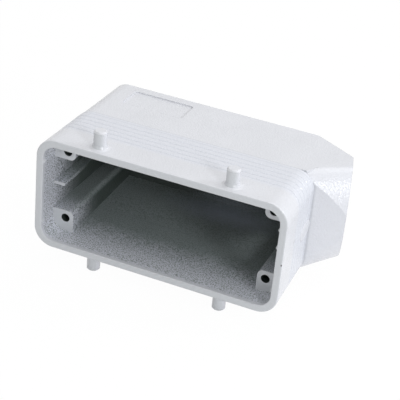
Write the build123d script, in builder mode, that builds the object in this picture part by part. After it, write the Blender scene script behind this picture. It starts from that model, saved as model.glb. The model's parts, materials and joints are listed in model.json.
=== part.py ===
from build123d import *
from math import cos, radians, sin, tan
import os

# Hood of a heavy duty rectangular connector: one aluminium die casting.
# The origin is the centre of the mouth, in the plane of its rim. X runs along the mouth,
# Y runs from the mouth into the hood, and Z is up, square to the two long walls.

# Mouth, outside of the rim
mouth_length = 93.2
mouth_height = 43.0
mouth_corner = 7.4
rim_round = 0.6
lip_round = 0.3

# Walls and the draft that lets the casting leave its die
wall = 2.7
inner_corner = 5.0
draft_angle = 1.3

# Depths behind the rim
collar_depth = 28.8
total_depth = 58.7
shoulder_step = 0.25
back_round = 1.2

# Grip lines round the collar: shallow grooves, counted back from its end
groove_count = 5
groove_pitch = 2.75
groove_margin = 4.6
groove_width = 0.9
groove_depth = 0.13

# Angled cable outlet. Its apex is the corner of the back's chamfer and the entry face. Its upper
# side ends in a long round that runs aslant over the neck, and a flat flank cuts that round off.
outlet_angle = 16.5
outlet_reach = 6.6
chamfer_run = 17.6
chamfer_depth = 10.6
neck_corner = 3.4
neck_angle = 37.0
neck_reach = 9.2
neck_crown = 3.8
neck_shoulder = (8.4, 9.4)
neck_width = 9.5
shoulder_inset = 6.1
shoulder_drop = 6.05
nose_half = 4.2

# Threaded entry
thread_diameter = 20.0
thread_length = 8.4
entry_wall = 3.25
entry_offset = 2.75
entry_chamfer = 0.8
relief_clearance = 0.5

# Insert seats: four corner columns with core holes for the insert's screws
screw_spacing_x = 77.5
screw_spacing_z = 27.0
seat_depth = 8.9
seat_margin = 3.1
seat_corner = 2.2
core_hole_diameter = 3.3
core_hole_depth = 13.0

# Stiffening ribs on the end walls, and small nubs that centre the insert
rib_thickness = 1.2
left_rib_reach = 4.3
right_rib_reach = 2.9
nub_radius = 0.9
nub_height = 0.55
nub_spacing = 24.0
nub_start = 0.9
nub_end = 4.2

# Locking pegs, two on each long wall
peg_spacing = 49.0
peg_depth = 4.6
peg_diameter = 4.8
peg_height = 6.6
peg_foot = 1.4
peg_waist = 0.4
peg_edge = 0.5
peg_root = 1.0

# Label recess in the upper long wall
label_length = 24.0
label_width = 12.0
label_depth = 0.5
label_corner = 1.5
label_inset = 12.1
label_margin = 4.7

draft = tan(radians(draft_angle))
end_inset = draft * collar_depth + shoulder_step
back_depth = total_depth - collar_depth
# Further than any outside face lies from the planes that the cuts start on
clear = mouth_length + total_depth


def depth_plane(depth):
    """Plane square to the depth axis, x along the mouth and y up."""
    return Plane.XZ.offset(-depth)


def top_at(depth):
    """Height of the long wall's outside face behind the collar."""
    return mouth_height / 2 - shoulder_step - draft * depth


def mouth_outline(inset):
    """Outline of the mouth, moved inwards all round."""
    return RectangleRounded(mouth_length - 2 * inset, mouth_height - 2 * inset, mouth_corner - inset)


# Stations along the collar: its rim, both sides and the floor of each groove, and its end
half_groove = groove_width / 2
stations = [(0.0, 0.0)]
for number in reversed(range(groove_count)):
    middle = collar_depth - groove_margin - number * groove_pitch
    stations.append((middle - half_groove, draft * (middle - half_groove)))
    stations.append((middle, draft * middle + groove_depth))
    stations.append((middle + half_groove, draft * (middle + half_groove)))
stations.append((collar_depth - half_groove, draft * (collar_depth - half_groove)))
stations.append((collar_depth, end_inset))

with BuildPart() as collar:
    for depth, inset in stations:
        with BuildSketch(depth_plane(depth)):
            mouth_outline(inset)
    loft(ruled=True)
    fillet(collar.edges().group_by(Axis.Y)[0], rim_round)

# Body behind the collar, as wide as the mouth on the left and drawn to a point on the right
collar_top = top_at(collar_depth)
collar_side = mouth_length / 2 - end_inset
side_corner = mouth_corner - end_inset
side_flat = collar_top - side_corner
corner_x = collar_side - side_corner
apex_x = mouth_length / 2 + outlet_reach
apex_y = total_depth - chamfer_depth
chamfer_x = apex_x - chamfer_run
with BuildPart() as back_box:
    with BuildSketch(depth_plane(collar_depth)):
        with Locations((outlet_reach, 0)):
            RectangleRounded(mouth_length + 2 * (outlet_reach - end_inset), mouth_height - 2 * end_inset,
                             side_corner)
        with Locations((outlet_reach + mouth_corner, 0)):
            RectangleRounded(mouth_length, mouth_height - 2 * end_inset, side_corner)
    extrude(amount=-back_depth, taper=draft_angle)
    fillet(back_box.faces().sort_by(Axis.Y)[-1].edges(), back_round)
    with BuildSketch(Plane.XY.offset(-mouth_height)):
        with BuildLine():
            Polyline((-mouth_length, collar_depth), (corner_x, collar_depth), (apex_x, apex_y),
                     (chamfer_x, total_depth), (-mouth_length, total_depth), close=True)
        make_face()
    extrude(amount=2 * mouth_height, mode=Mode.INTERSECT)

# The entry face stands square to the outlet's axis. On its plane x runs towards the mouth.
axis_x = cos(radians(outlet_angle))
axis_y = sin(radians(outlet_angle))
entry_plane = Plane(origin=(apex_x, apex_y, 0), x_dir=(axis_y, -axis_x, 0), z_dir=(-axis_x, -axis_y, 0))
apex_z = top_at(apex_y)
entry_front = entry_offset + thread_diameter / 2 + entry_wall
shoulder = (entry_front - shoulder_inset, shoulder_drop - apex_z)

with BuildPart() as lower_neck:
    with BuildSketch(depth_plane(collar_depth)):
        with BuildLine():
            Polyline((corner_x, -collar_top), (corner_x, 0), (collar_side, 0), (collar_side, -side_flat))
            RadiusArc((collar_side, -side_flat), (corner_x, -collar_top), side_corner)
        make_face()
    with BuildSketch(entry_plane):
        with BuildLine():
            Polyline((0, -apex_z), (0, 0), (entry_front, 0), (entry_front, -nose_half))
            ThreePointArc((entry_front, -nose_half), shoulder, (0, -apex_z))
        make_face()
    loft(ruled=True)

# The long round of the upper side. On its plane x runs across the round, from where it starts.
slant_x = cos(radians(neck_angle))
slant_y = sin(radians(neck_angle))
across = cos(radians(neck_angle - outlet_angle))
neck_start = entry_front - neck_reach
neck_top = top_at(apex_y - neck_start * axis_x)
neck_plane = Plane(origin=(apex_x + neck_start * axis_y, apex_y - neck_start * axis_x, 0),
                   x_dir=(slant_y, -slant_x, 0), z_dir=(-slant_x, -slant_y, draft * slant_y))
flank_x = apex_x + entry_front * axis_y - collar_side
flank_y = apex_y - entry_front * axis_x - collar_depth
flank_plane = Plane(origin=(collar_side, collar_depth, 0), x_dir=(flank_x, flank_y, 0),
                    z_dir=(flank_y, -flank_x, 0))
roof_plane = Plane(origin=(0, collar_depth, collar_top), x_dir=(1, 0, 0), z_dir=(0, draft, 1))
with BuildPart() as upper_neck:
    with BuildSketch(neck_plane):
        with BuildLine():
            Polyline((0, neck_top), (-neck_start * across, neck_top), (-neck_start * across, -nose_half / 2),
                     (neck_width, -nose_half / 2), (neck_width, 0))
            Bezier((neck_width, 0), neck_shoulder, (neck_crown, neck_top), (0, neck_top))
        make_face()
    extrude(amount=clear, both=True)
    with BuildSketch(Plane.XY):
        with BuildLine():
            Polyline((corner_x, collar_depth), (collar_side - neck_corner, collar_depth), (apex_x, apex_y),
                     close=True)
        make_face()
    extrude(amount=mouth_height)
    split(bisect_by=entry_plane, keep=Keep.TOP)
    split(bisect_by=depth_plane(collar_depth), keep=Keep.BOTTOM)
    split(bisect_by=flank_plane, keep=Keep.BOTTOM)
    split(bisect_by=roof_plane, keep=Keep.BOTTOM)

# Behind the outlet the upright chamfer swells into a shoulder, flush with the back of the hood
run = (chamfer_run**2 + chamfer_depth**2) ** 0.5
run_x = chamfer_run / run
run_y = -chamfer_depth / run
chamfer_plane = Plane(origin=(chamfer_x, total_depth, 0), x_dir=(-run_y, run_x, 0), z_dir=(run_x, run_y, 0))
entry_back = thread_diameter / 2 - entry_offset + entry_wall
swell = entry_back * (run_x * axis_x + run_y * axis_y)
back_z = top_at(total_depth) - back_round
with BuildPart() as rear_cheek:
    with BuildSketch(chamfer_plane):
        with BuildLine():
            Line((0, -back_z), (0, back_z))
            ThreePointArc((0, back_z), (swell, 0), (0, -back_z))
        make_face()
    extrude(amount=clear)
    split(bisect_by=depth_plane(total_depth), keep=Keep.TOP)
    split(bisect_by=entry_plane, keep=Keep.TOP)

# Core of the mould: the hollow of the hood, with room left for the columns, ribs and nubs
inner_back = total_depth - wall
side_in = mouth_length / 2 - wall
top_in = mouth_height / 2 - wall
column_size = 2 * mouth_corner + screw_spacing_z
column_x = screw_spacing_x / 2 - seat_margin + column_size / 2
column_z = screw_spacing_z / 2 - seat_margin + column_size / 2
with BuildPart() as core:
    with BuildSketch(Plane.XZ):
        RectangleRounded(2 * side_in, 2 * top_in, inner_corner)
    extrude(amount=-inner_back, taper=draft_angle)
    with BuildSketch(chamfer_plane.offset(-clear)):
        with Locations((clear / 2 - wall, 0)):
            Rectangle(clear, clear)
    extrude(amount=2 * clear, mode=Mode.SUBTRACT)
    with BuildSketch(depth_plane(seat_depth)):
        with GridLocations(2 * column_x, 2 * column_z, 2, 2):
            RectangleRounded(column_size, column_size, seat_corner)
        with Locations((-side_in, 0)):
            Rectangle(2 * left_rib_reach, rib_thickness)
        with Locations((side_in, 0)):
            Rectangle(2 * right_rib_reach, rib_thickness)
    extrude(amount=-total_depth, mode=Mode.SUBTRACT)
    nub_x = side_in + nub_radius - nub_height
    with BuildSketch(depth_plane(nub_start)):
        with GridLocations(2 * nub_x, nub_spacing, 2, 2):
            Circle(nub_radius)
    extrude(amount=nub_start - nub_end, mode=Mode.SUBTRACT)

# One locking peg, turned about its own axis, with a flared foot where it leaves the wall
peg_radius = peg_diameter / 2
foot_radius = peg_radius + peg_foot
with BuildPart() as peg:
    with BuildSketch(Plane.XZ):
        with BuildLine():
            Polyline((0, peg_height), (0, -peg_foot - peg_root), (foot_radius, -peg_foot - peg_root),
                     (foot_radius, 0), (peg_radius + peg_waist, peg_waist), (peg_radius, peg_foot),
                     (peg_radius, peg_height - peg_edge), (peg_radius - peg_edge, peg_height),
                     (0, peg_height))
        make_face()
    revolve(axis=Axis.Z)

peg_level = mouth_height / 2 - draft * peg_depth
label_x = label_inset + label_length / 2 - mouth_length / 2
label_y = total_depth - label_margin - label_width / 2
top_slope = Plane(origin=(label_x, label_y, top_at(label_y)), x_dir=(1, 0, 0), z_dir=(0, draft, 1))
entry_face = Plane(origin=(apex_x, apex_y, 0), x_dir=(axis_y, -axis_x, 0), z_dir=(axis_x, axis_y, 0))
relief = thread_diameter / 2 + relief_clearance

with BuildPart() as hood_casting:
    add(collar.part)
    add(back_box.part)
    add(lower_neck.part)
    add(upper_neck.part)
    add(rear_cheek.part)
    add(core.part, mode=Mode.SUBTRACT)
    fillet(hood_casting.faces().sort_by(Axis.Y)[0].inner_wires().edges(), lip_round)
    for level, turn in ((1, 0), (-1, 180)):
        for side in (-1, 1):
            with Locations(Location((side * peg_spacing / 2, peg_depth, level * peg_level), (turn, 0, 0))):
                add(peg.part)
    with Locations(depth_plane(seat_depth)):
        with GridLocations(screw_spacing_x, screw_spacing_z, 2, 2):
            Hole(radius=core_hole_diameter / 2, depth=core_hole_depth)
    with BuildSketch(entry_face):
        with Locations((entry_offset, 0)):
            Circle(thread_diameter / 2)
    extrude(amount=-2 * thread_length, mode=Mode.SUBTRACT)
    with BuildSketch(entry_face.offset(-thread_length)):
        with Locations((entry_offset, 0)):
            Circle(relief)
    extrude(amount=-thread_length, mode=Mode.SUBTRACT)
    entry_edges = hood_casting.edges().filter_by(lambda edge: edge.geom_type == GeomType.CIRCLE
                                                 and abs(edge.radius - thread_diameter / 2) < lip_round)
    chamfer(entry_edges.sort_by(Axis.X)[-1], entry_chamfer)
    with BuildSketch(top_slope):
        RectangleRounded(label_length, label_width, label_corner)
    extrude(amount=-label_depth, mode=Mode.SUBTRACT)

os.makedirs("parts", exist_ok=True)
hood_casting.part.label = "hood_casting"
export_step(hood_casting.part, "parts/hood_casting.step")
print("hood casting", round(hood_casting.part.volume), "mm3", len(hood_casting.part.solids()), "solid",
      hood_casting.part.is_valid)
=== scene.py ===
import json
import logging
import math
from dataclasses import dataclass, field
from enum import Enum

import bpy
import numpy as np
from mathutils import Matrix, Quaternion, Vector


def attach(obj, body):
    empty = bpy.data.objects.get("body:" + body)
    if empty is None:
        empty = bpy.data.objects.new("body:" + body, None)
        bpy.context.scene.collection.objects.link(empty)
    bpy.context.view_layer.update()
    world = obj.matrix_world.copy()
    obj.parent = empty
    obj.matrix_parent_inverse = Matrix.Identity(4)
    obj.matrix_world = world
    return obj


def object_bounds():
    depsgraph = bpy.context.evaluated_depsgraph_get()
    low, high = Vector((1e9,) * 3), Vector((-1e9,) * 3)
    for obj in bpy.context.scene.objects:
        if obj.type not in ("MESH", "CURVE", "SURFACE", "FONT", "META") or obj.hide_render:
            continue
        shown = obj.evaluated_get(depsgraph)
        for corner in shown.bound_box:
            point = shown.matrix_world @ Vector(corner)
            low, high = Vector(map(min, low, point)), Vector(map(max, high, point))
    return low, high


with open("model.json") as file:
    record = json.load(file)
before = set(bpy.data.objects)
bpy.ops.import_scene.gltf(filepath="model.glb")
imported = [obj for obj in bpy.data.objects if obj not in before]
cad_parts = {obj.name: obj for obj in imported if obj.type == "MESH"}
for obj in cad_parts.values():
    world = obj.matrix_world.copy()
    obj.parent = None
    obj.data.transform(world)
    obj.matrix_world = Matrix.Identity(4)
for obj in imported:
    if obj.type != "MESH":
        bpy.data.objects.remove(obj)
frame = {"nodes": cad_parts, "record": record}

log = logging.getLogger("hood")
MM = 0.001
PACKED_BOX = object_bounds()

Socket = bpy.types.NodeSocket
Value = float | Socket
Pair = tuple[float, float]
Triple = tuple[float, float, float]
Colour = tuple[float, float, float]


class Ray(Enum):
    """The kinds of ray that see the studio as plain white, by their socket on Light Path."""

    CAMERA = "Is Camera Ray"
    TRANSMISSION = "Is Transmission Ray"
    GLOSSY = "Is Glossy Ray"


@dataclass(frozen=True)
class CastingSizes:
    """Sizes of the casting, in metres, in the frame of its mouth.

    X runs along the mouth, Y into the hood and Z up.
    """

    mouth_length: float = 93.2 * MM
    mouth_height: float = 43.0 * MM
    mouth_corner: float = 7.4 * MM
    wall: float = 2.7 * MM
    total_depth: float = 58.7 * MM
    draft: float = math.tan(math.radians(1.3))
    chamfer_start: float = 35.6 * MM
    chamfer_normal: Triple = (0.5159, 0.8566, 0.0)
    seat_depth: float = 8.9 * MM
    screw_place: Pair = (38.75 * MM, 13.5 * MM)
    screw_radius: float = 1.65 * MM
    screw_depth: float = 13.0 * MM


@dataclass(frozen=True)
class Bore:
    """The cable entry's bore, in metres: its thread's middle, its outward axis and its size."""

    middle: Triple
    axis: Triple
    radius: float
    length: float

    @classmethod
    def from_record(cls, name: str) -> "Bore":
        """Reads the bore from the record's mount of this name.

        Args:
            name: The mount's name.

        Returns:
            The bore.
        """
        mount = next(m for m in frame["record"]["mounts"] if m["name"] == name)
        sizes = mount["dims"]
        return cls(tuple(mount["pos_m"]), tuple(mount["axis"]), sizes["r_mm"] * MM,
                   sizes["length_mm"] * MM)


@dataclass(frozen=True)
class Mark:
    """A small spot, a pit, a stain or a patch of painted light: its middle, its half sizes, its
    colour and strength.

    The half sizes run along X, Y and Z. The blur is the share of them over which the edge fades.
    """

    place: Triple
    reach: Triple
    colour: Colour
    strength: float
    blur: float = 0.35


@dataclass(frozen=True)
class Finish:
    """One surface finish: its colour as linear light, its gloss and the grain that stands on it."""

    name: str
    colour: Colour
    roughness: float
    grain_size: float
    grain_height: float
    metallic: float = 0.0


@dataclass(frozen=True)
class CoatZones:
    """Where the coat changes over the casting, and to what colour.

    Lengths are in metres and depths are behind the rim. A pair says where a change starts and where
    it is complete. Shares and shades run from 0 to 1. The spray's strength less its gaps may come
    out over 1, and is cut off there.
    """

    mottle_scale: float = 60.0
    mottle_detail: float = 3.0
    mottle_edge: Pair = (0.35, 0.65)
    mottle_shade: float = 0.97

    # Painted reflection: a bluer tint over the grooved band of the collar.
    painted_band: Colour = (0.735, 0.755, 0.815)
    band_front: Pair = (10.5 * MM, 12.5 * MM)
    band_end: Pair = (28.9 * MM, 28.6 * MM)
    band_reflection_share: float = 0.8

    # Painted shade: darker lines in the grooves.
    groove_painted_shade: Colour = (0.58, 0.61, 0.67)
    groove_first: float = 13.2 * MM
    groove_spacing: float = 2.75 * MM
    groove_edge: Pair = (0.50 * MM, 0.10 * MM)
    groove_share: float = 0.38

    # Painted shade in the concave step at the collar's end.
    step: Colour = (0.52, 0.54, 0.58)
    step_depth: float = 28.78 * MM
    step_edge: Pair = (0.42 * MM, 0.10 * MM)
    step_share: float = 0.55

    # Painted shade: a darker coat on the faces near the rim that look out of the mouth.
    rim: Colour = (0.630, 0.650, 0.672)
    rim_depth: Pair = (14 * MM, 12 * MM)

    # Painted highlight: a paler coat along rounded edges. The radius also softens the normals.
    edge_highlight: Colour = (0.86, 0.87, 0.88)
    rounded_edge_radius: float = 0.25 * MM
    edge_highlight_share: float = 0.5

    # Painted cool light: a paler, bluer coat over the inside of the hollow, where the overspray
    # lies.
    overspray_in_cool_light: Colour = (0.800, 0.815, 0.880)
    cloud: float = 8 * MM
    spray_depth: Pair = (34 * MM, 5 * MM)
    spray_on_floor: float = 0.22
    spray_strength: float = 1.25
    spray_gaps: float = 1.15
    straight_depth: Pair = (60 * MM, 14 * MM)

    bare: Colour = (0.178, 0.222, 0.200)
    bare_roughness: float = 0.40
    # Painted shade: the raw casting is darker on faces that don't look up, and darker still in core
    # holes.
    wall_painted_shade: float = 0.37
    core_painted_shade: float = 0.26


POWDER_COAT = Finish("powder_coat", (0.765, 0.775, 0.812), 0.25, 0.65 * MM, 0.13 * MM)
GROUND_GATE = Finish("ground_gate", (0.770, 0.780, 0.820), 0.32, 0.60 * MM, 0.16 * MM)
CUT_THREAD = Finish("cut_thread", (0.62, 0.63, 0.64), 0.30, 0.30 * MM, 0.004 * MM, metallic=0.9)

RIM_PIT = Mark((46.20 * MM, 0.05 * MM, -0.47 * MM), (0.22 * MM, 0.30 * MM, 0.42 * MM),
               (0.05, 0.05, 0.05), 0.95)
WALL_STAIN = Mark((46.30 * MM, 11.5 * MM, 2.8 * MM), (1.0 * MM, 1.3 * MM, 0.6 * MM),
                  (0.55, 0.56, 0.57), 0.5)
# Painted light: a pale bluish pool of light on the floor deep in the hollow.
PAINTED_LIGHT_PATCH = Mark((9.0 * MM, 49.0 * MM, -17.7 * MM), (26.0 * MM, 10.5 * MM, 6.0 * MM),
                  (0.62, 0.67, 0.80), 0.70, blur=1.2)


def shade(colour: Colour, share: float) -> Colour:
    """Returns a colour darkened to this share of its light."""
    return tuple(share * part for part in colour)


class Tree:
    """Adds nodes to one node tree and links them, so that a material reads from top to bottom."""

    def __init__(self, tree: bpy.types.NodeTree) -> None:
        """Keeps the tree.

        Args:
            tree: The node tree of a material, world or group.
        """
        self.tree = tree

    def node(self, kind: str, inputs: dict[str | int, object] | None = None,
             **settings: object) -> bpy.types.Node:
        """Adds one node.

        Args:
            kind: The node's class without its "ShaderNode" prefix.
            inputs: Values or sockets for the node's inputs, by name or number.
            **settings: Properties of the node.

        Returns:
            The new node.
        """
        made = self.tree.nodes.new("ShaderNode" + kind)
        for name, value in settings.items():
            setattr(made, name, value)
        for name, value in (inputs or {}).items():
            if isinstance(value, Socket):
                self.feed(value, made.inputs[name])
            else:
                made.inputs[name].default_value = value
        return made

    def group(self, group: bpy.types.NodeTree, **inputs: object) -> dict[str, Socket]:
        """Places a shared group and returns its output sockets by name."""
        return dict(self.node("Group", inputs, node_tree=group).outputs.items())

    def feed(self, value: Socket, target: Socket) -> None:
        """Links one socket to another."""
        self.tree.links.new(value, target)

    def math(self, operation: str, *values: Value, clamp: bool = False) -> Socket:
        """Returns the result of one Math node on these values."""
        made = self.node("Math", dict(enumerate(values)), operation=operation, use_clamp=clamp)
        return made.outputs[0]

    def product(self, first: Socket, *others: Value) -> Socket:
        """Returns the product of all values."""
        for other in others:
            first = self.math("MULTIPLY", first, other)
        return first

    def rest(self, share: Socket) -> Socket:
        """Returns one minus a share."""
        return self.math("SUBTRACT", 1.0, share)

    def vector(self, operation: str, *values: object) -> Socket:
        """Returns the vector that one Vector Math node makes of these values."""
        return self.node("VectorMath", dict(enumerate(values)), operation=operation).outputs[0]

    def dot(self, first: Socket, second: object) -> Socket:
        """Returns the dot product of two vectors."""
        made = self.node("VectorMath", {0: first, 1: second}, operation="DOT_PRODUCT")
        return made.outputs["Value"]

    def smooth(self, value: Socket, span: Pair, base: float = 0.0) -> Socket:
        """Returns a smooth step from 0 to 1.

        Args:
            value: What the step follows.
            span: Where the step starts and where it ends, counted from the base.
            base: The value that the span is counted from.

        Returns:
            The step.
        """
        start, end = span
        inputs = {"Value": value, "From Min": base + start, "From Max": base + end}
        return self.node("MapRange", inputs, interpolation_type="SMOOTHSTEP").outputs[0]

    def mix(self, factor: Value, first: Colour | Socket, second: Colour | Socket) -> Socket:
        """Returns one colour laid over another, by factor."""
        first, second = (c if isinstance(c, Socket) else (*c, 1.0) for c in (first, second))
        return self.node("Mix", {0: factor, 6: first, 7: second}, data_type="RGBA").outputs[2]

    def noise(self, place: Socket, scale: Value, detail: float = 2.0) -> Socket:
        """Returns a noise of this scale and detail, around one half."""
        return self.node("TexNoise", {"Vector": place, "Scale": scale, "Detail": detail}).outputs[0]

    def white_rays(self) -> Socket:
        """Returns 1 for each ray that sees the studio as plain white, else 0."""
        path = self.node("LightPath").outputs
        shown = path[Ray.CAMERA.value]
        for ray in (Ray.TRANSMISSION, Ray.GLOSSY):
            shown = self.math("MAXIMUM", shown, path[ray.value])
        return shown


def new_group(name: str, inputs: dict[str, tuple[str, object]],
              outputs: dict[str, str]) -> tuple[Tree, dict[str, Socket], dict[str, Socket]]:
    """Starts a shader node group with named sockets.

    Args:
        name: The group's name.
        inputs: Socket type and default value of each input.
        outputs: Socket type of each output.

    Returns:
        The tree, the group's input sockets by name, and the sockets of its output node by name.
    """
    group = bpy.data.node_groups.new(name, "ShaderNodeTree")
    for label, (kind, default) in inputs.items():
        socket = group.interface.new_socket(label, in_out="INPUT", socket_type="NodeSocket" + kind)
        if default is not None:
            socket.default_value = default
    for label, kind in outputs.items():
        group.interface.new_socket(label, in_out="OUTPUT", socket_type="NodeSocket" + kind)
    entry, leave = group.nodes.new("NodeGroupInput"), group.nodes.new("NodeGroupOutput")
    return Tree(group), dict(entry.outputs.items()), dict(leave.inputs.items())


def grain_group() -> bpy.types.NodeTree:
    """Builds the grain of a surface: rounded pimples of powder, with finer noise between them.

    Returns:
        A group whose Height runs from 0 to 1 and whose Speck is a mask of scattered small spots.
    """
    softness, fine_ratio, pimple_share = 0.7, 1.5, 0.6
    speck_edge = (0.47, 0.60)
    tree, into, out = new_group(
        "surface_grain",
        {"Vector": ("Vector", None), "Size": ("Float", 0.5 * MM)},
        {"Height": "Float", "Speck": "Float"},
    )
    scale = tree.math("DIVIDE", 1.0, into["Size"])
    cells = tree.node("TexVoronoi",
                      {"Vector": into["Vector"], "Scale": scale, "Smoothness": softness},
                      feature="SMOOTH_F1")
    fine = tree.node("TexNoise", {"Vector": into["Vector"], "Detail": 2.0, "Roughness": 0.6,
                                  "Scale": tree.product(scale, fine_ratio)}).outputs[0]
    pimple = tree.product(tree.rest(cells.outputs["Distance"]), pimple_share)
    tree.feed(tree.math("ADD", pimple, tree.product(fine, 1 - pimple_share)), out["Height"])
    tree.feed(tree.smooth(fine, speck_edge), out["Speck"])
    return tree.tree


def edge_group() -> bpy.types.NodeTree:
    """Builds a mask of the edges: 1 where the surface turns within a radius, else 0.

    Returns:
        A group whose Edge is the mask and whose Normal is the softened normal.
    """
    turned = (0.998, 0.90)        # cosines between the softened normal and the surface's own
    tree, into, out = new_group("edge_mask", {"Radius": ("Float", 0.4 * MM)},
                                {"Edge": "Float", "Normal": "Vector"})
    bevel = tree.node("Bevel", {"Radius": into["Radius"]}, samples=4).outputs[0]
    along = tree.dot(bevel, tree.node("NewGeometry").outputs["Normal"])
    tree.feed(tree.smooth(along, turned), out["Edge"])
    tree.feed(bevel, out["Normal"])
    return tree.tree


def hollow_group(sizes: CastingSizes) -> bpy.types.NodeTree:
    """Builds a mask of the casting's inside, and the depth behind the rim.

    A point is inside where it lies behind the rim and within the middle of the walls all round, of
    the chamfer's wall and of the back, and where its face doesn't look away from the hood's middle.

    Args:
        sizes: The casting's sizes.

    Returns:
        A group with the outputs Inside, Facing and Upward, from 0 to 1, and Depth, in metres.
        Facing is 1 where a face looks straight out of the mouth, and Upward where it looks up.
    """
    half_wall, blur = sizes.wall / 2, 0.2 * MM
    middle_of_wall = (blur, -blur)
    behind_rim = (0.4 * MM, 2.5 * MM)
    not_outward, facing, upward = (0.25, 0.15), (0.4, 0.9), (0.2, 0.9)      # cosines
    tree, into, out = new_group(
        "hollow",
        {"Vector": ("Vector", None)},
        {"Inside": "Float", "Facing": "Float", "Upward": "Float", "Depth": "Float"},
    )
    place = tree.node("SeparateXYZ", {0: into["Vector"]}).outputs
    taper = tree.product(place["Y"], sizes.draft)
    squares = []
    for axis, half in (("X", sizes.mouth_length / 2), ("Z", sizes.mouth_height / 2)):
        reach = tree.math("ADD", tree.math("ABSOLUTE", place[axis]), taper)
        beyond = tree.math("SUBTRACT", reach, half - sizes.mouth_corner)
        beyond = tree.math("MAXIMUM", beyond, 0.0)
        squares.append(tree.product(beyond, beyond))
    corner = tree.math("SQRT", tree.math("ADD", *squares))
    lean = tree.dot(into["Vector"], sizes.chamfer_normal)
    chamfer = (sizes.chamfer_start * sizes.chamfer_normal[0]
               + sizes.total_depth * sizes.chamfer_normal[1])
    away = (2 / sizes.mouth_length, 0.0, 2 / sizes.mouth_height)
    outward = tree.vector("NORMALIZE", tree.vector("MULTIPLY", into["Vector"], away))
    normal = tree.node("NewGeometry").outputs["True Normal"]
    inside = tree.product(
        tree.smooth(corner, middle_of_wall, sizes.mouth_corner - half_wall),
        tree.smooth(lean, middle_of_wall, chamfer - half_wall),
        tree.smooth(place["Y"], middle_of_wall, sizes.total_depth - half_wall),
        tree.smooth(tree.dot(normal, outward), not_outward),
        tree.smooth(place["Y"], behind_rim),
    )
    tree.feed(inside, out["Inside"])
    tree.feed(tree.smooth(tree.dot(normal, (0.0, -1.0, 0.0)), facing), out["Facing"])
    tree.feed(tree.smooth(tree.dot(normal, (0.0, 0.0, 1.0)), upward), out["Upward"])
    tree.feed(place["Y"], out["Depth"])
    return tree.tree


def holes_group(sizes: CastingSizes, bore: Bore) -> bpy.types.NodeTree:
    """Builds the masks of the holes: the four core holes and the cable entry's bore.

    A core hole's mask ends just outside its wall, under its seat and below its bottom. The bore's
    mask ends just outside its wall, at its mouth's chamfer and well inside the neck.

    Args:
        sizes: The casting's sizes.
        bore: The cable entry's bore.

    Returns:
        A group with the outputs Core and Bore, from 0 to 1.
    """
    core_wall, under_seat = (0.12 * MM, 0.05 * MM), (0.05 * MM, 0.20 * MM)
    below_bottom = (1.0 * MM, 0.5 * MM)
    bore_wall, bore_mouth = (0.90 * MM, 0.70 * MM), (0.75 * MM, 0.65 * MM)
    bore_rear = (-1.6 * bore.length, -1.5 * bore.length)
    tree, into, out = new_group("holes", {"Vector": ("Vector", None)},
                                {"Core": "Float", "Bore": "Float"})
    place = tree.node("SeparateXYZ", {0: into["Vector"]}).outputs
    steps = [tree.math("SUBTRACT", tree.math("ABSOLUTE", place[axis]), middle)
             for axis, middle in zip(("X", "Z"), sizes.screw_place)]
    squares = tree.math("ADD", *(tree.product(step, step) for step in steps))
    core = tree.product(
        tree.smooth(tree.math("SQRT", squares), core_wall, sizes.screw_radius),
        tree.smooth(place["Y"], under_seat, sizes.seat_depth),
        tree.smooth(place["Y"], below_bottom, sizes.seat_depth + sizes.screw_depth),
    )
    tree.feed(core, out["Core"])
    offset = tree.vector("SUBTRACT", into["Vector"], bore.middle)
    along = tree.dot(offset, bore.axis)
    side = tree.dot(offset, (-bore.axis[1], bore.axis[0], 0.0))
    squares = tree.math("ADD", tree.product(side, side), tree.product(place["Z"], place["Z"]))
    cut = tree.product(
        tree.smooth(tree.math("SQRT", squares), bore_wall, bore.radius),
        tree.smooth(along, bore_mouth, bore.length / 2),
        tree.smooth(along, bore_rear),
    )
    tree.feed(cut, out["Bore"])
    return tree.tree


def marks_group(marks: tuple[Mark, ...]) -> bpy.types.NodeTree:
    """Builds one layer of small spots with ragged outlines.

    Args:
        marks: The spots.

    Returns:
        A group that lays the spots over its Color input and puts the result out as Color.
    """
    ragged_scale, outline = 2500.0, 1.65
    tree, into, out = new_group("marks", {"Vector": ("Vector", None), "Color": ("Color", None)},
                                {"Color": "Color"})
    ragged = tree.noise(into["Vector"], ragged_scale)
    colour = into["Color"]
    for mark in marks:
        offset = tree.vector("SUBTRACT", into["Vector"], mark.place)
        shrunk = tree.vector("MULTIPLY", offset, tuple(1 / reach for reach in mark.reach))
        span = tree.node("VectorMath", {0: shrunk}, operation="LENGTH").outputs["Value"]
        mask = tree.smooth(tree.math("ADD", span, ragged), (0.0, -mark.blur), outline)
        colour = tree.mix(tree.product(mask, mark.strength), colour, mark.colour)
    tree.feed(colour, out["Color"])
    return tree.tree


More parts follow.
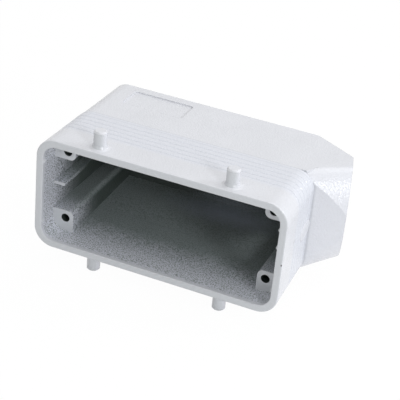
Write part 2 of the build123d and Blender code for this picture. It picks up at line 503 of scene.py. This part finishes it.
class Finishes:
    """Makes the materials of the hood from the shared groups."""

    def __init__(self, sizes: CastingSizes, bore: Bore, marks: tuple[Mark, ...]) -> None:
        """Builds the shared groups once.

        Args:
            sizes: The casting's sizes, which bound its hollow.
            bore: The cable entry's bore.
            marks: The small spots on the coat.
        """
        self.grain = grain_group()
        self.edge = edge_group()
        self.hollow = hollow_group(sizes)
        self.holes = holes_group(sizes, bore)
        self.marks = marks_group(marks)

    def start(self, name: str) -> tuple[bpy.types.Material, Tree, dict[str, Socket], Socket]:
        """Starts a material.

        Args:
            name: The material's name.

        Returns:
            The material, its tree, the inputs of its Principled node, and the Object coordinates.
        """
        material = bpy.data.materials.new(name)
        material.use_nodes = True
        tree = Tree(material.node_tree)
        tree.tree.nodes.clear()
        shader = tree.node("BsdfPrincipled", {"IOR": 1.6})
        output = tree.node("OutputMaterial", {"Surface": shader.outputs[0]})
        output.is_active_output = True
        place = tree.node("TexCoord").outputs["Object"]
        return material, tree, dict(shader.inputs.items()), place

    def relief(self, tree: Tree, height: Socket, normal: Socket, finish: Finish) -> Socket:
        """Returns the normal with the finish's grain standing on it."""
        inputs = {"Height": height, "Distance": finish.grain_height, "Normal": normal}
        return tree.node("Bump", inputs).outputs[0]

    def coat_colour(self, tree: Tree, place: Socket, coat: Finish, zones: CoatZones,
                    hollow: dict[str, Socket]) -> Socket:
        """Colours the coat: mottled, bluer on the grooved band as a painted reflection and inside
        as painted cool light, and darker by painted shade on the rim's faces and in the grooves.

        The painted shade in a groove follows the distance to the nearest multiple of the spacing of
        the grooves, counted from the first one.

        Args:
            tree: The material's tree.
            place: The Object coordinates.
            coat: The coat's finish.
            zones: Where the coat changes.
            hollow: The outputs of the hollow's group.

        Returns:
            The colour.
        """
        depth = hollow["Depth"]
        mottle = tree.noise(place, zones.mottle_scale, zones.mottle_detail)
        mottle = tree.smooth(mottle, zones.mottle_edge)
        colour = tree.mix(mottle, shade(coat.colour, zones.mottle_shade), coat.colour)
        # The grooved band gets a painted bluish reflection, and it bounds the grooves' painted
        # shade.
        painted_band = tree.product(tree.smooth(depth, zones.band_front),
                            tree.smooth(depth, zones.band_end))
        colour = tree.mix(tree.product(painted_band, zones.band_reflection_share), colour, zones.painted_band)
        # Painted shade along each groove.
        groove_painted_shade = tree.math("PINGPONG", tree.math("SUBTRACT", depth, zones.groove_first),
                           zones.groove_spacing / 2)
        groove_painted_shade = tree.product(painted_band, tree.smooth(groove_painted_shade, zones.groove_edge), zones.groove_share)
        colour = tree.mix(groove_painted_shade, colour, zones.groove_painted_shade)
        # Painted cool light over the coat inside the hollow.
        colour = tree.mix(hollow["Inside"], colour, zones.overspray_in_cool_light)
        # Painted shade on the faces near the rim that look out of the mouth.
        rim = tree.product(hollow["Facing"], tree.smooth(depth, zones.rim_depth))
        return tree.mix(rim, colour, zones.rim)

    def bareness(self, tree: Tree, place: Socket, zones: CoatZones, speck: Socket,
                 hollow: dict[str, Socket], core: Socket) -> Socket:
        """Works out where the raw casting shows through the coat.

        The overspray reaches in to a depth that wanders with a cloudy noise, and thins out between
        its specks. The floor keeps a little of it all the way, and faces that look straight out of
        the mouth are covered deeper in. The core holes stay bare.

        Args:
            tree: The material's tree.
            place: The Object coordinates.
            zones: Where the coat changes.
            speck: The grain's mask of small spots.
            hollow: The outputs of the hollow's group.
            core: The mask of the core holes.

        Returns:
            The share of raw casting, from 0 to 1.
        """
        cloud = tree.noise(place, 2.0 / zones.cloud)
        depth = tree.math("ADD", hollow["Depth"], tree.product(cloud, zones.cloud))
        reach = tree.math("MAXIMUM", tree.smooth(depth, zones.spray_depth),
                          tree.product(hollow["Upward"], zones.spray_on_floor))
        density = tree.math("SUBTRACT", zones.spray_strength,
                            tree.product(speck, zones.spray_gaps))
        spray = tree.math("MULTIPLY", reach, density, clamp=True)
        straight = tree.product(hollow["Facing"], tree.smooth(depth, zones.straight_depth))
        cover = tree.product(tree.math("MAXIMUM", spray, straight), tree.rest(core))
        return tree.product(tree.math("MAXIMUM", hollow["Inside"], core), tree.rest(cover))

    def powder_coat(self, coat: Finish, zones: CoatZones, cut: Finish) -> bpy.types.Material:
        """Makes the coated casting: a pale coat outside that thins to specks of overspray inside.

        Args:
            coat: The coat's finish.
            zones: Where the coat changes.
            cut: The finish of the bore, cut after casting.

        Returns:
            The material.
        """
        material, tree, shader, place = self.start(coat.name)
        grain = tree.group(self.grain, Vector=place, Size=coat.grain_size)
        hollow = tree.group(self.hollow, Vector=place)
        holes = tree.group(self.holes, Vector=place)
        edge = tree.group(self.edge, Radius=zones.rounded_edge_radius)
        bare = self.bareness(tree, place, zones, grain["Speck"], hollow, holes["Core"])

        colour = self.coat_colour(tree, place, coat, zones, hollow)
        # Painted highlight along the rounded edges.
        colour = tree.mix(tree.product(edge["Edge"], zones.edge_highlight_share), colour, zones.edge_highlight)
        # Painted shade along the step at the collar's end.
        step = tree.math("ABSOLUTE", tree.math("SUBTRACT", hollow["Depth"], zones.step_depth))
        step = tree.product(tree.smooth(step, zones.step_edge), zones.step_share)
        colour = tree.mix(step, colour, zones.step)
        # Painted shade: the raw casting darker on the walls than on the floor, and darker in the
        # core holes.
        raw = tree.mix(hollow["Upward"], shade(zones.bare, zones.wall_painted_shade), zones.bare)
        raw = tree.mix(holes["Core"], raw, shade(zones.bare, zones.core_painted_shade))
        colour = tree.mix(bare, colour, raw)
        colour = tree.group(self.marks, Vector=place, Color=colour)["Color"]
        tree.feed(tree.mix(holes["Bore"], colour, cut.colour), shader["Base Color"])

        duller = tree.product(bare, zones.bare_roughness - coat.roughness)
        tree.feed(tree.math("ADD", coat.roughness, duller), shader["Roughness"])
        tree.feed(tree.product(holes["Bore"], cut.metallic), shader["Metallic"])
        tree.feed(self.relief(tree, grain["Height"], edge["Normal"], coat), shader["Normal"])
        return material

    def plain(self, finish: Finish) -> bpy.types.Material:
        """Makes a finish of one metal or coat with its grain and softened edges.

        Args:
            finish: The finish.

        Returns:
            The material.
        """
        edge_radius, dark_shade, dulling = 0.15 * MM, 0.93, 0.12
        material, tree, shader, place = self.start(finish.name)
        grain = tree.group(self.grain, Vector=place, Size=finish.grain_size)
        edge = tree.group(self.edge, Radius=edge_radius)
        colour = tree.mix(grain["Speck"], shade(finish.colour, dark_shade), finish.colour)
        tree.feed(colour, shader["Base Color"])
        shader["Metallic"].default_value = finish.metallic
        rough = tree.math("ADD", finish.roughness, tree.product(grain["Height"], dulling))
        tree.feed(rough, shader["Roughness"])
        tree.feed(self.relief(tree, grain["Height"], edge["Normal"], finish), shader["Normal"])
        return material


@dataclass
class Casting:
    """The die casting itself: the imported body, with its coat."""

    node: str = "hood_casting"

    def dress(self, coat: bpy.types.Material) -> bpy.types.Object:
        """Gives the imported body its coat.

        Args:
            coat: The material.

        Returns:
            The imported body's object.
        """
        body = frame["nodes"][self.node]
        body.data.materials.clear()
        body.data.materials.append(coat)
        log.info("%s: %d faces", body.name, len(body.data.polygons))
        return body


def tube(name: str, rings: np.ndarray, material: bpy.types.Material) -> bpy.types.Object:
    """Makes a closed solid from rings of points, one after another, with a flat cap at either end.

    The faces look outwards: where the signed volume of the quads comes out negative, each face is
    turned.

    Args:
        name: The piece's name.
        rings: Points in metres, as an array of rings, by points of a ring, by three.
        material: The piece's finish.

    Returns:
        The piece, at the origin, riding on the casting.
    """
    count, size, _ = rings.shape
    index = np.arange(count * size).reshape(count, size)
    here, ahead = index[:-1], index[1:]
    quads = np.stack([here, np.roll(here, -1, 1), np.roll(ahead, -1, 1), ahead], axis=-1)
    quads = quads.reshape(-1, 4)
    points = rings.reshape(-1, 3)
    corners = points[quads]
    volume = np.einsum("ij,ij->", corners[:, 0], np.cross(corners[:, 1], corners[:, 2]))
    volume += np.einsum("ij,ij->", corners[:, 0], np.cross(corners[:, 2], corners[:, 3]))
    faces = [*quads.tolist(), index[0][::-1].tolist(), index[-1].tolist()]
    if volume < 0:
        faces = [face[::-1] for face in faces]
    mesh = bpy.data.meshes.new(name)
    mesh.from_pydata(points.tolist(), [], faces)
    mesh.materials.append(material)
    mesh.shade_smooth()
    piece = bpy.data.objects.new(name, mesh)
    bpy.context.scene.collection.objects.link(piece)
    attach(piece, "root")
    log.info("%s: %d faces", name, len(faces))
    return piece


@dataclass
class ThreadRidge:
    """The ridge of the metric thread, wound along the wall of the cable entry's bore."""

    bore: Bore
    pitch: float = 1.5 * MM
    height: float = 0.81 * MM
    sunk: float = 0.12 * MM
    crest: float = 0.375 * MM
    flank: float = math.radians(30)
    left_free: float = 0.9 * MM
    steps: int = 72

    def build(self, metal: bpy.types.Material) -> bpy.types.Object:
        """Winds the ridge.

        The angle runs over all turns, and the ridge moves on by one pitch a turn. Its section has
        four corners: two sunk a little into the wall and two at the crest, closer together by the
        height times the tangent of the flank's angle on either side. The height rises from nothing
        over the first half turn and falls again over the last one, as the sine of a quarter wave.

        Args:
            metal: The finish of the cut thread.

        Returns:
            The ridge.
        """
        turns = (self.bore.length - self.left_free) / self.pitch
        angle = np.linspace(0.0, 2 * np.pi * turns, int(self.steps * turns))
        ends = np.minimum(angle, angle[-1] - angle) / np.pi
        rise = self.height * np.sin(np.pi / 2 * np.clip(ends, 0.0, 1.0))
        slope = math.tan(self.flank)
        foot = np.full_like(angle, self.crest / 2 + (self.height + self.sunk) * slope)
        top = foot - (rise + self.sunk) * slope
        across = np.stack([-foot, -top, top, foot], axis=1)
        outer = np.full_like(angle, self.bore.radius + self.sunk)
        inner = self.bore.radius - rise
        reach = np.stack([outer, inner, inner, outer], axis=1)
        along = (angle / (2 * np.pi) - turns / 2)[:, None] * self.pitch + across
        axis = np.array(self.bore.axis) / np.linalg.norm(self.bore.axis)
        side, up = np.array([-axis[1], axis[0], 0.0]), np.array([0.0, 0.0, 1.0])
        spoke = np.cos(angle)[:, None] * side + np.sin(angle)[:, None] * up
        rings = (np.array(self.bore.middle) + along[..., None] * axis
                 + reach[..., None] * spoke[:, None, :])
        return tube("thread_ridge", rings, metal)


@dataclass
class GateMark:
    """The low stump of the gate, ground down on the collar's right wall and coated over."""

    sizes: CastingSizes
    middle: Pair = (24.1 * MM, 0.5 * MM)
    reach: Pair = (5.4 * MM, 3.3 * MM)
    height: float = 0.30 * MM
    sunk: float = 0.35 * MM
    root: float = 0.2 * MM
    texture: float = 0.05 * MM
    squareness: float = 0.75
    flatness: int = 10
    buried: float = 1.04
    innermost: float = 0.04
    rings: int = 22
    points: int = 56

    def waves(self, y: np.ndarray, z: np.ndarray) -> np.ndarray:
        """Roughens the top with three waves.

        A wave along Y, bent sideways by a slower one along Z, is multiplied by a wave along Z, and
        a long wave that runs aslant is added at a smaller strength.

        Args:
            y: Depths behind the rim, in metres.
            z: Heights, in metres.

        Returns:
            The waves' sum at each point, between -1.7 and 1.7.
        """
        bend = 1.3 * np.sin(z / (0.9 * MM))
        short = np.sin(y / (0.62 * MM) + bend) * np.sin(z / (0.55 * MM))
        return short + 0.7 * np.sin(y / (1.7 * MM) - z / (1.1 * MM))

    def build(self, coat: bpy.types.Material) -> bpy.types.Object:
        """Raises the stump on the wall.

        Rings of a squarish oval, each a power curve of cosine and sine, run from one buried deeper
        in the wall, over the outline, to the middle. The height over the wall falls off as the
        square root of one minus a high power of the ring's share of the outline, and three waves
        roughen the top. The wall's own face leans inwards with depth by the draft.

        Args:
            coat: The finish of the coated stump.

        Returns:
            The stump.
        """
        shares = [[self.buried], np.linspace(1.0, self.innermost, self.rings)]
        share = np.concatenate(shares)[:, None]
        angle = np.linspace(0.0, 2 * np.pi, self.points, endpoint=False)[None, :]
        ovals = (np.sign(wave) * np.abs(wave) ** self.squareness
                 for wave in (np.cos(angle), np.sin(angle)))
        y, z = (middle + reach * share * oval
                for middle, reach, oval in zip(self.middle, self.reach, ovals))
        fall = 1.0 - np.clip(share, 0.0, 1.0) ** self.flatness
        lift = (self.sunk + self.height) * fall ** 0.5 - self.sunk
        lift = lift + self.texture * self.waves(y, z) * fall
        x = self.sizes.mouth_length / 2 - self.sizes.draft * y + lift
        x[0] -= self.root
        return tube("gate_mark", np.stack([x, y, z], axis=-1), coat)


@dataclass
class PhotoCamera:
    """The camera of the photograph, in the frame of the mouth."""

    place: Vector = field(default_factory=lambda: Vector((0.145418, -0.352845, 0.233026)))
    aim: Vector = field(default_factory=lambda: Vector((0.004676, 0.029, -0.002706)))
    roll: float = math.radians(5.792)
    lens: float = 117.77
    sensor: float = 36.0
    nearest: float = 0.01
    farthest: float = 20.0

    def build(self) -> bpy.types.Object:
        """Makes the camera and sets it as the scene's.

        Returns:
            The camera's object.
        """
        data = bpy.data.cameras.new("photo_camera")
        data.lens, data.sensor_width = self.lens, self.sensor
        data.clip_start, data.clip_end = self.nearest, self.farthest
        camera = bpy.data.objects.new("photo_camera", data)
        bpy.context.scene.collection.objects.link(camera)
        look = (self.aim - self.place).to_track_quat("-Z", "Y")
        camera.rotation_mode = "QUATERNION"
        camera.location = self.place
        camera.rotation_quaternion = look @ Quaternion((0, 0, 1), self.roll)
        bpy.context.scene.camera = camera
        return camera


@dataclass
class Softbox:
    """A square lamp that shines at the object from one side."""

    name: str
    direction: Triple
    distance: float
    size: float
    level: float
    colour: Colour = (1.0, 1.0, 1.0)

    def build(self, aim: Vector) -> bpy.types.Object:
        """Places the lamp.

        A white surface that faces it at the aim looks as bright as level says, because the power is
        level times pi squared times the distance squared.

        Args:
            aim: The point that it faces.

        Returns:
            The lamp's object.
        """
        data = bpy.data.lights.new(self.name, "AREA")
        data.size, data.color = self.size, self.colour
        data.energy = self.level * math.pi ** 2 * self.distance ** 2
        lamp = bpy.data.objects.new(self.name, data)
        bpy.context.scene.collection.objects.link(lamp)
        back = Vector(self.direction).normalized()
        lamp.location = aim + back * self.distance
        lamp.rotation_mode = "QUATERNION"
        lamp.rotation_quaternion = (-back).to_track_quat("-Z", "Y")
        return lamp


COOL_LIGHT = (0.97, 0.99, 1.03)


@dataclass
class Studio:
    """The pale floor, the soft light all round and the lamps."""

    ambient: float = 0.46
    lamps: tuple[Softbox, ...] = (
        Softbox("key_light", (0.72, -0.58, 0.38), 0.8, 0.16, 0.27, COOL_LIGHT),
        Softbox("top_light", (0.15, 0.10, 0.98), 0.9, 0.8, 0.38),
        Softbox("back_light", (0.75, 0.36, 0.52), 0.8, 0.15, 0.17, COOL_LIGHT),
    )
    floor_half: float = 3.0
    floor_grey: float = 0.90
    floor_white: float = 1.01
    floor_white_share: float = 0.96

    def build(self, low: Vector, high: Vector) -> None:
        """Makes the floor under the object, the world and the lamps.

        Args:
            low: Lowest corner of the object's box.
            high: Highest corner of the object's box.
        """
        self.world()
        self.floor(low)
        for lamp in self.lamps:
            lamp.build((low + high) / 2)

    def world(self) -> None:
        """Makes the soft light, which the camera, gloss and glass see as white."""
        world = bpy.data.worlds.new("studio")
        world.use_nodes = True
        bpy.context.scene.world = world
        tree = Tree(world.node_tree)
        tree.tree.nodes.clear()
        soft = tree.node("Background", {"Color": (1, 1, 1, 1), "Strength": self.ambient})
        white = tree.node("Background", {"Color": (1, 1, 1, 1), "Strength": 1.0})
        inputs = {0: tree.white_rays(), 1: soft.outputs[0], 2: white.outputs[0]}
        mixed = tree.node("MixShader", inputs)
        tree.node("OutputWorld", {"Surface": mixed.outputs[0]})

    def floor(self, low: Vector) -> None:
        """Makes the floor, which the camera sees nearly white, with the object's shadow on it.

        From below the floor is clear, so that the underside of the object can be looked at.

        Args:
            low: Lowest corner of the object's box, which stands on it.
        """
        half, level = self.floor_half, low.z
        corners = [(-half, -half, level), (half, -half, level),
                   (half, half, level), (-half, half, level)]
        mesh = bpy.data.meshes.new("floor")
        mesh.from_pydata(corners, [], [(0, 1, 2, 3)])
        floor = bpy.data.objects.new("floor", mesh)
        bpy.context.scene.collection.objects.link(floor)
        material = bpy.data.materials.new("floor")
        material.use_nodes = True
        tree = Tree(material.node_tree)
        tree.tree.nodes.clear()
        lit = tree.node("BsdfDiffuse", {"Color": (*[self.floor_grey] * 3, 1)})
        white = tree.node("Emission", {"Color": (1, 1, 1, 1), "Strength": self.floor_white})
        share = tree.product(tree.white_rays(), self.floor_white_share)
        above = tree.node("MixShader", {0: share, 1: lit.outputs[0], 2: white.outputs[0]})
        below = tree.node("BsdfTransparent")
        seen_from_below = tree.node("NewGeometry").outputs["Backfacing"]
        inputs = {0: seen_from_below, 1: above.outputs[0], 2: below.outputs[0]}
        sided = tree.node("MixShader", inputs)
        tree.node("OutputMaterial", {"Surface": sided.outputs[0]})
        mesh.materials.append(material)


def main() -> None:
    """Builds the hood's looks, the studio and the camera, in order."""
    logging.basicConfig(level=logging.INFO, format="%(name)s %(message)s")
    sizes, bore = CastingSizes(), Bore.from_record("cable_entry")
    # The third mark is painted light, a pale bluish patch on the deep floor.
    finishes = Finishes(sizes, bore, (RIM_PIT, WALL_STAIN, PAINTED_LIGHT_PATCH))
    Casting().dress(finishes.powder_coat(POWDER_COAT, CoatZones(), CUT_THREAD))
    ThreadRidge(bore).build(finishes.plain(CUT_THREAD))
    GateMark(sizes).build(finishes.plain(GROUND_GATE))
    Studio().build(*PACKED_BOX)
    PhotoCamera().build()
    bpy.context.scene.view_settings.view_transform = "Standard"


if __name__ == "__main__":
    main()
